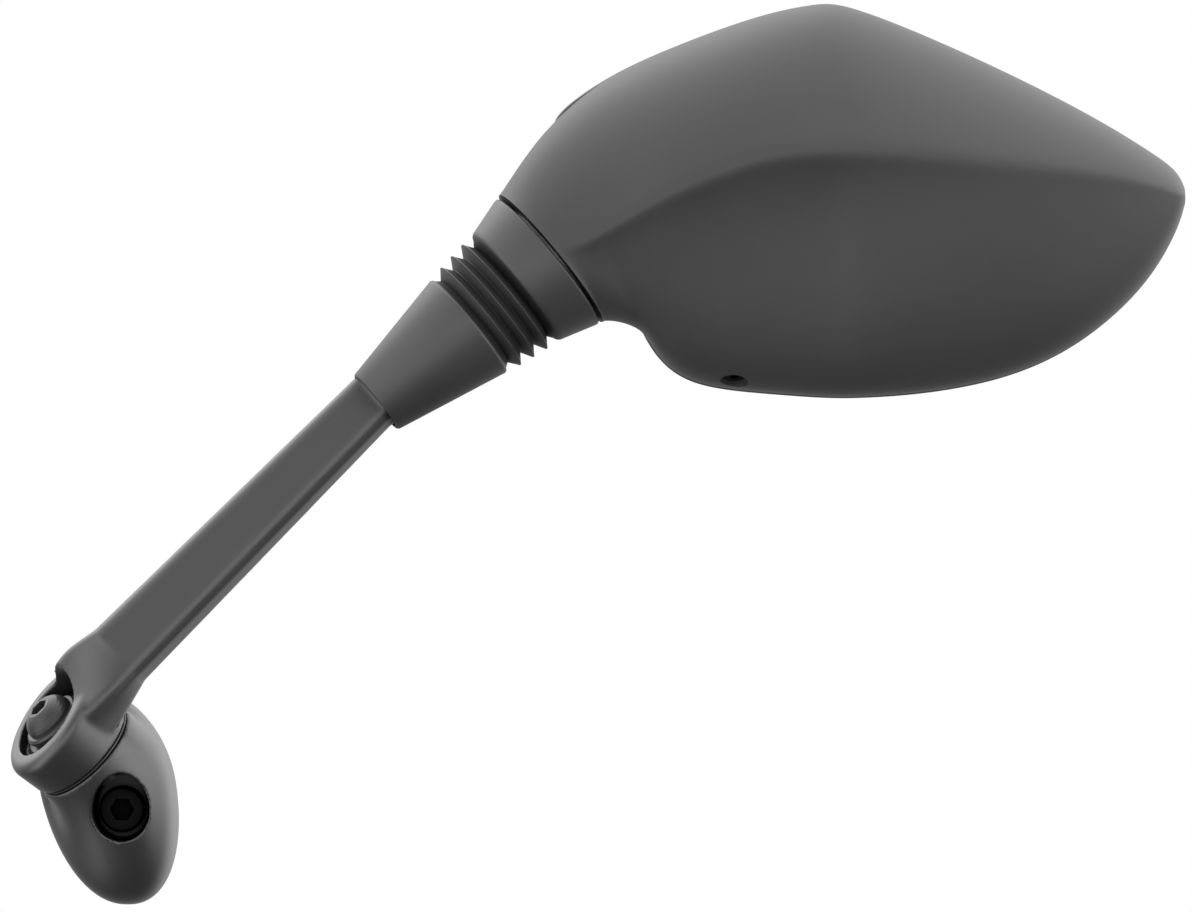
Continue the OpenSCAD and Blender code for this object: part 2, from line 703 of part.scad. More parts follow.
module carrier_screw() {
    color([0.2, 0.2, 0.2]) at_screw() difference() {
        union() {
            translate([0, 0, -2.2]) cylinder(r1 = 2.2, r2 = 3.1, h = 2.2 - seat);
            translate([0, 0, -1]) cylinder(r = screw_r, h = 14);
        }
        translate([0, 0, -3]) cylinder(r = 1.2, h = 1.8, $fn = 6);
    }
}

foot();
fixing_screw();
friction_washer();
pivot_bolt();
bolt_washer();
spring_washer();
pivot_bush();
arm();
ball_stud();
boot();
ball_liner();
ball_cup_lower();
ball_cup_upper();
ball_spring();
spring_plug();
socket_bracket();
bracket_screws();
housing_shell();
glass_carrier();
adhesive_pad();
mirror_glass();
carrier_screw();
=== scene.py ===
"""Looks of a motorcycle mirror on a folding stem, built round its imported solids.

Lengths in the builders are in millimetres and in the row frame: X towards the
housing's tip, Y towards the side that the glass faces, Z up. Objects are in metres.
"""

import json
import logging
import math
from dataclasses import dataclass, field
from enum import Enum
from typing import Iterable, Sequence, Union

import bpy
import numpy as np
from mathutils import Matrix, Vector

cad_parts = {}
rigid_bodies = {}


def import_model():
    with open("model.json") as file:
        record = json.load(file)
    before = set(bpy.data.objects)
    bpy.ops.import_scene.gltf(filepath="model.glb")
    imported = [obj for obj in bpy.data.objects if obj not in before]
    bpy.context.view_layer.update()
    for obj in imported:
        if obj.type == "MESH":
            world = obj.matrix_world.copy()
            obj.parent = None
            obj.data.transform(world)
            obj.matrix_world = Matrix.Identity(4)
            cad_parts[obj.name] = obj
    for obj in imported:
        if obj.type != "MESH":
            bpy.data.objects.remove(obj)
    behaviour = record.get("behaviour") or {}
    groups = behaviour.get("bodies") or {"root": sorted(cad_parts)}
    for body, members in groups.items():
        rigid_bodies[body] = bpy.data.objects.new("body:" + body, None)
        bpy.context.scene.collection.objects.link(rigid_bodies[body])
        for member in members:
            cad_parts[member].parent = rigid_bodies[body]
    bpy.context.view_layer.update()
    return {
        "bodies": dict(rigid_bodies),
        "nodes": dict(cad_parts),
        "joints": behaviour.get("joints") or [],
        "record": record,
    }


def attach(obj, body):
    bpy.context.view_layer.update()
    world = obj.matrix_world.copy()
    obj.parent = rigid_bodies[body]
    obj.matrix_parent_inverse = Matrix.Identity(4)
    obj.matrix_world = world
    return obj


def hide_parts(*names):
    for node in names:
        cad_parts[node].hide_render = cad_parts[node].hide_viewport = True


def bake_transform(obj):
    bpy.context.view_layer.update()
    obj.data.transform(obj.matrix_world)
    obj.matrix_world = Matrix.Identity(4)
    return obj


log = logging.getLogger("mirror")

Array = np.ndarray
MM = 0.001


# Geometry helpers


def unit(v: Array) -> Array:
    """Scale vectors to length one.

    Args:
        v: One vector, or an array of them along its first axes.

    Returns:
        The vectors divided by their lengths.
    """
    return v / np.maximum(np.linalg.norm(v, axis=-1, keepdims=True), 1e-12)


def mix(a: Array | float, b: Array | float, t: Array | float) -> Array | float:
    """Blend two values.

    Args:
        a: The value at t = 0.
        b: The value at t = 1.
        t: The share of b.

    Returns:
        The blend of a and b.
    """
    return a + (b - a) * t


def ease(t: Array | float) -> Array | float:
    """Ease a share in and out.

    Args:
        t: The share before easing, clipped to 0 and 1.

    Returns:
        The eased share.
    """
    c = np.clip(t, 0.0, 1.0)
    return c * c * (3.0 - 2.0 * c)


def bezier(a: Array, b: Array, c: Array, d: Array, t: Array) -> Array:
    """Evaluate a cubic curve.

    Args:
        a: Start point.
        b: First handle.
        c: Second handle.
        d: End point.
        t: Places along the curve, one column.

    Returns:
        One point for each place.
    """
    s = 1.0 - t
    return a * s**3 + 3.0 * b * t * s**2 + 3.0 * c * t**2 * s + d * t**3


def weights(f: float) -> tuple[float, float, float, float]:
    """Weigh the four control points round a place on a uniform cubic B-spline.

    Args:
        f: The place between the second point and the third, from 0 to 1.

    Returns:
        Six times the weight of each point.
    """
    return (1 - f) ** 3, 3 * f**3 - 6 * f**2 + 4, -3 * f**3 + 3 * f**2 + 3 * f + 1, f**3


def spline(points: Array, t: float) -> Array:
    """Evaluate the smooth curve that a rail or a row of sections follows.

    Args:
        points: The control points, one row each.
        t: The place, counted in control points from the first.

    Returns:
        The point of a uniform cubic B-spline whose ends lie on the first and last point.
    """
    p = np.concatenate([[2 * points[0] - points[1]], points, [2 * points[-1] - points[-2]]])
    i = int(min(max(math.floor(t), 0), len(points) - 2))
    return sum(w * p[i + k] for k, w in enumerate(weights(t - i))) / 6.0


def led(points: Array) -> Array:
    """Move control points out, so that the smooth curve comes near the old ones.

    Args:
        points: The control points, one row each.

    Returns:
        The moved points; the two ends stay.
    """
    out = np.array(points, float)
    out[1:-1] -= (out[:-2] - 2.0 * out[1:-1] + out[2:]) / 7.0
    return out


def closed_spline(points: Array, steps: int) -> Array:
    """Evaluate a closed smooth curve.

    Args:
        points: The control points in order.
        steps: How many points to make for each control point.

    Returns:
        The points of the closed curve.
    """
    n = len(points)
    around = points[np.arange(-1, n + 2) % n]
    shares = [weights(k / steps) for k in range(steps)]
    return np.array([sum(w * around[i + m] for m, w in enumerate(row)) / 6.0
                     for i in range(n) for row in shares])


def turn(axis: str, degrees: float) -> Array:
    """Make a rotation matrix.

    Args:
        axis: The axis to turn about, X, Y or Z.
        degrees: The angle, by the right-hand rule.

    Returns:
        A 3 by 3 matrix.
    """
    return np.array(Matrix.Rotation(math.radians(degrees), 3, axis))


@dataclass(frozen=True)
class Sizes:
    """Main sizes, in millimetres and degrees, the same as the solids'."""

    seat: tuple[float, float, float] = (-10.4, -17.0, 16.3)
    lean: float = 23.0
    rise: float = 45.0
    seat_r: float = 16.5
    eye_r: float = 17.6
    eye_h: float = 15.4
    eye_slope: float = 9.0
    eye_edge: float = 2.6
    pocket_r: float = 12.4
    pocket_floor: float = 10.2
    friction_t: float = 0.8
    ball: tuple[float, float, float] = (168.4, -7.4, 10.8)
    boot_rise: float = 39.3
    boot_turn: float = 7.8
    neck_r: float = 22.8
    neck_start: float = 21.2
    rim_back: float = 29.0
    rim_side: float = 13.0
    rim_w: float = 3.0
    ledge_y: float = 22.4


SIZE = Sizes()


@dataclass(frozen=True)
class Place:
    """A local frame of the mirror: a turn and a point, in millimetres."""

    turn: Array
    at: Array

    def points(self, p: Array) -> Array:
        """Move points from this frame to the row frame."""
        return np.asarray(p, float) @ self.turn.T + self.at


PIVOT = Place(turn("Y", -SIZE.rise) @ turn("X", SIZE.lean), np.array(SIZE.seat))
BALL = Place(
    turn("Z", SIZE.boot_turn) @ turn("Y", -SIZE.boot_rise) @ turn("Y", 90.0),
    PIVOT.points(np.array([SIZE.ball]))[0],
)


# Mesh building

# A length in millimetres that takes a cutter past whatever it cuts
CLEAR = 60.0


def mesh_object(name: str, points: Array, faces: Iterable[Sequence[int]]) -> bpy.types.Object:
    """Make a smooth-shaded mesh object.

    Args:
        name: The object's name.
        points: Vertex positions in millimetres, in the row frame.
        faces: Vertex numbers of each face.

    Returns:
        The new object, linked to the scene.
    """
    data = bpy.data.meshes.new(name)
    data.from_pydata([tuple(p) for p in np.asarray(points) * MM], [], [tuple(f) for f in faces])
    data.validate()
    data.polygons.foreach_set("use_smooth", [True] * len(data.polygons))
    made = bpy.data.objects.new(name, data)
    bpy.context.scene.collection.objects.link(made)
    return made


def loft(name: str, rings: Array) -> bpy.types.Object:
    """Make a closed skin through rings of points, with its two ends filled.

    Args:
        name: The object's name.
        rings: An array of rings, points and coordinates, counter-clockwise along the skin.

    Returns:
        The new object.
    """
    n, m = rings.shape[:2]
    i, j = np.meshgrid(np.arange(n - 1), np.arange(m), indexing="ij")
    a, b = i * m + j, i * m + (j + 1) % m
    faces = np.stack([a, b, b + m, a + m], -1).reshape(-1, 4).tolist()
    faces += [list(range(m - 1, -1, -1)), list(range((n - 1) * m, n * m))]
    return mesh_object(name, rings.reshape(-1, 3), faces)


def tube(name: str, rings: Array) -> bpy.types.Object:
    """Make a closed skin through rings of points, whose last ring joins the first.

    Args:
        name: The object's name.
        rings: An array of rings, points and coordinates.

    Returns:
        The new object.
    """
    n, m = rings.shape[:2]
    faces = [(k * m + j, k * m + (j + 1) % m, (k + 1) % n * m + (j + 1) % m, (k + 1) % n * m + j)
             for k in range(n) for j in range(m)]
    return mesh_object(name, rings.reshape(-1, 3), faces)


def lathe(name: str, profile: Array, place: Place, around: int) -> bpy.types.Object:
    """Turn a closed profile about a local Z axis.

    Args:
        name: The object's name.
        profile: Radius and height of each point.
        place: The frame whose Z is the axis.
        around: How many points make a full turn.

    Returns:
        The new object.
    """
    angles = np.linspace(0.0, 2.0 * math.pi, around, endpoint=False)
    r, z = profile[:, 0], profile[:, 1]
    local = np.stack([r[:, None] * np.cos(angles), r[:, None] * np.sin(angles),
                      np.repeat(z[:, None], around, 1)], -1)
    return tube(name, place.points(local))


def rod(
    name: str, place: Place, r: float, low: float, high: float, r_high: float | None = None, around: int = 96
) -> bpy.types.Object:
    """Make a closed cylinder or cone along a local Z axis.

    Args:
        name: The object's name.
        place: The frame whose Z is the axis.
        r: Radius at the low end.
        low: Height of the low end.
        high: Height of the high end.
        r_high: Radius at the high end, if it differs.
        around: How many sides it has.

    Returns:
        The new object.
    """
    angles = np.linspace(0.0, 2.0 * math.pi, around, endpoint=False)
    rings = [np.stack([q * np.cos(angles), q * np.sin(angles), np.full(around, z)], -1)
             for q, z in ((r, low), (r if r_high is None else r_high, high))]
    return loft(name, np.array([place.points(ring) for ring in rings]))


def prism(name: str, outline: Array, low: float, high: float) -> bpy.types.Object:
    """Make a plate from an outline in X and Z.

    Args:
        name: The object's name.
        outline: Points of the outline, clockwise when seen along +Y.
        low: Y of the front face.
        high: Y of the back face.

    Returns:
        The new object.
    """
    rings = [np.stack([outline[:, 0], np.full(len(outline), y), outline[:, 1]], -1) for y in (low, high)]
    return loft(name, np.array(rings))


def bake(target: bpy.types.Object) -> bpy.types.Object:
    """Replace an object's mesh by what its modifiers make of it.

    Args:
        target: The object, which keeps its place.

    Returns:
        The same object, without modifiers.
    """
    bpy.context.view_layer.update()
    graph = bpy.context.evaluated_depsgraph_get()
    baked = bpy.data.meshes.new_from_object(target.evaluated_get(graph))
    target.modifiers.clear()
    target.data = baked
    target.data.polygons.foreach_set("use_smooth", [True] * len(baked.polygons))
    return target


def joined(name: str, parts: Sequence[bpy.types.Object]) -> bpy.types.Object:
    """Put the meshes of several objects in one.

    Args:
        name: The new object's name.
        parts: The objects, which are removed.

    Returns:
        The new object.
    """
    points: list[Array] = []
    faces: list[list[int]] = []
    start = 0
    for part in parts:
        local = np.empty(len(part.data.vertices) * 3)
        part.data.vertices.foreach_get("co", local)
        points.append(local.reshape(-1, 3) / MM)
        faces += [[start + v for v in poly.vertices] for poly in part.data.polygons]
        start += len(part.data.vertices)
        bpy.data.objects.remove(part, do_unlink=True)
    return mesh_object(name, np.concatenate(points), faces)


def cut(target: bpy.types.Object, *cutters: bpy.types.Object) -> bpy.types.Object:
    """Take shapes away from an object.

    Args:
        target: The object to cut.
        cutters: The shapes, which are removed afterwards.

    Returns:
        The cut object.
    """
    for cutter in cutters:
        step = target.modifiers.new("cut", "BOOLEAN")
        step.operation = "DIFFERENCE"
        step.solver = "EXACT"
        step.object = cutter
        bake(target)
        bpy.data.objects.remove(cutter, do_unlink=True)
    return target


def soften(target: bpy.types.Object, voxel: float, passes: int) -> bpy.types.Object:
    """Give a casting its even skin and small fillets.

    Args:
        target: The object to work on.
        voxel: Size of the skin's cells in millimetres.
        passes: How many times the skin is relaxed.

    Returns:
        The same object.
    """
    step = target.modifiers.new("skin", "REMESH")
    step.mode = "VOXEL"
    step.voxel_size = voxel * MM
    step.use_smooth_shade = True
    relax = target.modifiers.new("relax", "SMOOTH")
    relax.factor = 0.5
    relax.iterations = passes
    return bake(target)


def crisp(target: bpy.types.Object, degrees: float = 32.0) -> bpy.types.Object:
    """Shade an object smooth, with sharp edges where its faces really meet at an angle.

    Args:
        target: The object.
        degrees: The smallest angle that stays sharp.

    Returns:
        The same object.
    """
    data = target.data
    data.polygons.foreach_set("use_smooth", [True] * len(data.polygons))
    data.set_sharp_from_angle(angle=math.radians(degrees))
    return target


# Shader building

Value = Union["Signal", float]
BUMP_HEIGHT = 0.0001
# Reach, contrast and darkness of the painted shade that an occlusion mask lays into hollows
HOLLOW_REACH = 0.008
HOLLOW_CONTRAST = 1.3
HOLLOW_SHADE = 0.1


class Graph:
    """The node tree of one material or world."""

    def __init__(self, tree: bpy.types.NodeTree) -> None:
        """Take over an empty tree."""
        self.tree = tree
        tree.nodes.clear()

    def node(self, kind: str, settings: dict | None = None, inputs: dict | None = None) -> bpy.types.Node:
        """Add a node.

        Args:
            kind: The node's type name.
            settings: Properties to set on the node.
            inputs: Socket names or numbers with the values or signals that they get.

        Returns:
            The new node.
        """
        made = self.tree.nodes.new(kind)
        for key, value in (settings or {}).items():
            setattr(made, key, value)
        for key, value in (inputs or {}).items():
            if isinstance(value, Signal):
                self.tree.links.new(value.socket, made.inputs[key])
            elif isinstance(value, bpy.types.NodeSocket):
                self.tree.links.new(value, made.inputs[key])
            else:
                made.inputs[key].default_value = value
        return made

    def signal(self, made: bpy.types.Node, output: str) -> "Signal":
        """Take a node's output as a number to calculate with."""
        return Signal(self, made.outputs[output])

    def noise(
        self, where: bpy.types.NodeSocket, scale: float, detail: float, rough: float = 0.5
    ) -> "Signal":
        """Add a noise pattern.

        Args:
            where: The coordinates.
            scale: Cells for each metre.
            detail: How many finer layers it has.
            rough: The share of the finer layers.

        Returns:
            The pattern, from 0 to 1.
        """
        made = self.node("ShaderNodeTexNoise", inputs={"Vector": where, "Scale": scale, "Detail": detail,
                                                       "Roughness": rough})
        return self.signal(made, "Fac")

    def tint(self, share: Value, low: Sequence[float], high: Sequence[float]) -> bpy.types.NodeSocket:
        """Mix two colours, by the share of the second one."""
        made = self.node("ShaderNodeMix", {"data_type": "RGBA"}, {0: share, 6: (*low, 1.0), 7: (*high, 1.0)})
        return made.outputs[2]


class Signal:
    """A number in a shader, with the usual arithmetic."""

    def __init__(self, graph: Graph, socket: bpy.types.NodeSocket) -> None:
        """Wrap a node's output."""
        self.graph = graph
        self.socket = socket

    def _math(self, kind: str, *values: Value, clamp: bool = False) -> "Signal":
        """Calculate with a Math node of the kind given."""
        made = self.graph.node("ShaderNodeMath", {"operation": kind, "use_clamp": clamp},
                               dict(enumerate(values)))
        return Signal(self.graph, made.outputs[0])

    def __add__(self, other: Value) -> "Signal":
        """Add a number or signal."""
        return self._math("ADD", self, other)

    def __radd__(self, other: Value) -> "Signal":
        """Add this signal to a number."""
        return self._math("ADD", other, self)

    def __mul__(self, other: Value) -> "Signal":
        """Multiply by a number or signal."""
        return self._math("MULTIPLY", self, other)

    def __rmul__(self, other: Value) -> "Signal":
        """Multiply a number by this signal."""
        return self._math("MULTIPLY", other, self)

    def __pow__(self, other: Value) -> "Signal":
        """Raise to a power."""
        return self._math("POWER", self, other)

    def __rpow__(self, other: Value) -> "Signal":
        """Raise a number to this signal."""
        return self._math("POWER", other, self)

    def clamped(self) -> "Signal":
        """Keep the number between 0 and 1."""
        return self._math("ADD", self, 0.0, clamp=True)

    def step(self, low: float, high: float) -> "Signal":
        """Ease from 0 to 1 while the number rises from low to high."""
        made = self.graph.node("ShaderNodeMapRange", {"interpolation_type": "SMOOTHSTEP"},
                               {0: self, 1: low, 2: high, 3: 0.0, 4: 1.0})
        return Signal(self.graph, made.outputs[0])


class Grain(Enum):
    """How a surface is textured: cells for each metre of its fine and of its broad pattern."""

    CAST = (1500.0, 60.0)
    MOULDED = (2600.0, 45.0)
    RUBBER = (1900.0, 80.0)
    TURNED = (900.0, 120.0)
    CLEAN = (400.0, 20.0)


@dataclass(frozen=True)
class Finish:
    """A surface: its colour, its sheen and its texture."""

    slot: str
    colour: tuple[float, float, float]
    roughness: float
    grain: Grain
    metallic: float = 0.0
    specular: float = 0.5
    bump: float = 0.1
    spread: float = 0.12
    # Share of painted shade laid into the hollows by an occlusion mask
    painted_hollow_shade: float = 0.0
    label: str = ""

    def material(self) -> bpy.types.Material:
        """Build the finish as a procedural material.

        Returns:
            The material, made once for each finish.
        """
        name = self.label or f"{self.slot} {self.grain.name.lower()}"
        if name in bpy.data.materials:
            return bpy.data.materials[name]
        made = bpy.data.materials.new(name)
        made.use_nodes = True
        graph = Graph(made.node_tree)
        where = graph.node("ShaderNodeTexCoord").outputs["Object"]
        fine, broad = self._patterns(graph, where)
        tone = (broad * 0.7 + fine * 0.3).clamped()
        low = tuple(c * (1.0 - self.spread) for c in self.colour)
        high = tuple(min(c * (1.0 + self.spread), 1.0) for c in self.colour)
        rough = self.roughness * (1.0 - self.spread * 0.5) + self.roughness * self.spread * broad
        bump = graph.node("ShaderNodeBump", inputs={"Strength": self.bump, "Distance": BUMP_HEIGHT,
                                                    "Height": fine})
        shader = graph.node("ShaderNodeBsdfPrincipled", inputs={
            "Base Color": graph.tint(tone, low, high),
            "Roughness": rough,
            "Metallic": self.metallic,
            "Specular IOR Level": self.specular,
            "Normal": bump.outputs["Normal"],
        })
        surface = shader.outputs["BSDF"]
        # Hollows get painted shade: a dark diffuse mixed in by an occlusion mask
        if self.painted_hollow_shade:
            surface = self._painted_shade(graph, surface)
        graph.node("ShaderNodeOutputMaterial", inputs={"Surface": surface})
        return made

    def _painted_shade(self, graph: Graph, surface: bpy.types.NodeSocket) -> bpy.types.NodeSocket:
        """Paint shade into a surface's hollows, where an occlusion mask finds them.

        Args:
            graph: The material's graph.
            surface: The surface's shader.

        Returns:
            The shader of the surface with painted shade in its hollows.
        """
        # Painted shade: where the occlusion mask finds hollows, a dark diffuse without gloss replaces the
        # surface
        near = graph.node("ShaderNodeAmbientOcclusion", {"samples": 8}, {"Distance": HOLLOW_REACH})
        sky = graph.signal(near, "AO") ** HOLLOW_CONTRAST * self.painted_hollow_shade + (1.0 - self.painted_hollow_shade)
        shade = (*(c * HOLLOW_SHADE for c in self.colour), 1.0)
        painted_shade_bsdf = graph.node("ShaderNodeBsdfDiffuse", inputs={"Color": shade})
        both = graph.node("ShaderNodeMixShader", inputs={0: sky, 1: painted_shade_bsdf.outputs[0], 2: surface})
        return both.outputs[0]

    def _patterns(self, graph: Graph, where: bpy.types.NodeSocket) -> tuple[Signal, Signal]:
        """Lay out the fine and the broad pattern of the grain.

        Args:
            graph: The material's graph.
            where: The coordinates.

        Returns:
            The fine pattern and the broad one.
        """
        fine_scale, broad_scale = self.grain.value
        fine = graph.noise(where, fine_scale, 2.0, 0.6)
        broad = graph.noise(where, broad_scale, 4.0, 0.55)
        if self.grain is Grain.TURNED:
            fine = (fine * 0.6 + graph.noise(where, 4000.0, 1.0) * 0.4).clamped()
        return fine, broad

    def on(self, target: bpy.types.Object) -> bpy.types.Object:
        """Give an object this finish.

        Args:
            target: The object.

        Returns:
            The same object.
        """
        target.data.materials.clear()
        target.data.materials.append(self.material())
        return target


# The castings take painted shade in their hollows, so the foot's pocket and the eye's recess come out dark
CAST = Finish("cast_black", (0.024, 0.024, 0.0245), 0.30, Grain.CAST, specular=1.0, bump=0.18, painted_hollow_shade=0.9)
SHELL = Finish("housing_plastic", (0.046, 0.046, 0.047), 0.46, Grain.MOULDED, bump=0.26)
# The rubber takes painted shade in its hollows, so the boot's fold grooves come out near black
RUBBER = Finish("rubber", (0.034, 0.034, 0.035), 0.44, Grain.RUBBER, specular=0.8, bump=0.14, painted_hollow_shade=1.0)
BLACK_STEEL = Finish("black_steel", (0.045, 0.045, 0.046), 0.34, Grain.TURNED, metallic=0.35)
# Steel painted near black, darker than black oxide steel is, as painted shade for screws deep in a pocket or
# recess; it also takes painted shade in its hollows
PAINTED_SHADE_STEEL = Finish("black_steel", (0.008, 0.008, 0.0085), 0.6, Grain.TURNED, specular=0.1, painted_hollow_shade=1.0,
                    label="painted shade steel")
ZINC = Finish("zinc_steel", (0.52, 0.53, 0.54), 0.32, Grain.TURNED, metallic=1.0)
POLISHED = Finish("polished_steel", (0.60, 0.61, 0.62), 0.16, Grain.TURNED, metallic=1.0)
SPRING = Finish("spring_steel", (0.22, 0.22, 0.23), 0.34, Grain.TURNED, metallic=1.0)
BRACKET = Finish("bracket_metal", (0.42, 0.43, 0.44), 0.45, Grain.CAST, metallic=1.0)
CARRIER = Finish("carrier_plastic", (0.05, 0.05, 0.052), 0.5, Grain.MOULDED)
NYLON = Finish("nylon", (0.72, 0.70, 0.65), 0.42, Grain.MOULDED)
ACETAL = Finish("acetal", (0.03, 0.03, 0.03), 0.45, Grain.MOULDED)
FOAM = Finish("foam", (0.09, 0.09, 0.09), 0.9, Grain.RUBBER)
GLASS = Finish("mirror", (0.56, 0.57, 0.585), 0.015, Grain.CLEAN, metallic=1.0, bump=0.0, spread=0.01)

# The fixing screw in the foot's pocket gets the steel painted near black as shade
CAD_FINISHES: dict[str, Finish] = {
    "fixing_screw": PAINTED_SHADE_STEEL, "friction_washer": ACETAL, "pivot_bolt": BLACK_STEEL,
    "bolt_washer": BLACK_STEEL, "spring_washer": SPRING, "pivot_bush": NYLON, "ball_stud": POLISHED,
    "ball_liner": NYLON, "ball_cup_lower": ACETAL, "ball_cup_upper": ACETAL, "ball_spring": SPRING,
    "spring_plug": ZINC, "socket_bracket": BRACKET, "bracket_screws": ZINC, "glass_carrier": CARRIER,
    "adhesive_pad": FOAM, "mirror_glass": GLASS,
}


# Sub-assemblies


@dataclass
class Foot:
    """The cast egg-shaped mounting foot."""

    centre: tuple[float, float] = (-5.0, 8.0)
    half_w: float = 19.4
    up: float = 25.6
    down: float = 35.2
    lean: float = 0.17
    low_round: float = 0.9
    pocket_w: float = 16.0
    pocket_rise: float = 2.5
    pocket_egg: float = 0.08
    pocket_lift: tuple[float, float] = (0.35, 0.65)
    floor: float = 7.0
    seat_pull: tuple[float, float] = (3.0, 19.0)
    most_pull: float = 0.7
    edge_pull: tuple[float, float] = (1.5, 17.0)
    skin: tuple[float, int] = (0.45, 5)
    ribs: int = 144
    rib_steps: int = 49

    def edge(self, angle: float) -> Array:
        """Find a point on the back face's outline.

        Args:
            angle: The direction in degrees from +X towards +Z.

        Returns:
            The point.
        """
        cos, sin = math.cos(math.radians(angle)), math.sin(math.radians(angle))
        rise = (self.up if sin > 0 else self.down) * sin
        side = self.half_w * math.copysign(abs(cos) ** (1.0 if sin > 0 else self.low_round), cos)
        return np.array([self.centre[0] + side - self.lean * rise, 0.0, self.centre[1] + rise])

    def rib(self, angle: float, t: Array) -> Array:
        """Run one rib of the skin from the pivot seat to the back face.

        Args:
            angle: The direction round the seat in degrees.
            t: Places along the rib.

        Returns:
            The rib's points.
        """
        rad = math.radians(angle)
        start = PIVOT.points([[SIZE.seat_r * math.cos(rad), SIZE.seat_r * math.sin(rad), 0.0]])[0]
        down = -PIVOT.turn[:, 2]
        near = math.sin(math.radians((angle - 90.0) / 2.0)) ** 2
        pull = min(self.seat_pull[0] + self.seat_pull[1] * near, -self.most_pull * start[1] / down[1])
        end = self.edge(angle + SIZE.rise)
        handle = end - np.array([0.0, self.edge_pull[0] + self.edge_pull[1] * near, 0.0])
        return bezier(start, start + down * pull, handle, end, t[:, None])

    def build(self) -> bpy.types.Object:
        """Build the foot.

        Returns:
            The foot, riding its own body.
        """
        t = np.linspace(0.0, 1.0, self.rib_steps)
        ribs = np.array([self.rib(-a, t) for a in np.linspace(0.0, 360.0, self.ribs, endpoint=False)])
        skin = loft("foot_skin", ribs.transpose(1, 0, 2))
        angles = np.linspace(0.0, 2.0 * math.pi, 96, endpoint=False)
        r, (mean, swell) = self.pocket_w / 2.0, self.pocket_lift
        outline = np.stack([r * np.cos(angles) * (1 - self.pocket_egg * np.sin(angles)),
                            r * np.sin(angles) + self.pocket_rise * (mean + swell * np.sin(angles))], -1)
        pocket = prism("pocket", outline[::-1], -CLEAR, -self.floor)
        made = soften(cut(skin, pocket), *self.skin)
        made.name = "foot_casting"
        CAST.on(made)
        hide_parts("foot")
        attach(made, "foot")
        log.info("foot: %d faces", len(made.data.polygons))
        return made


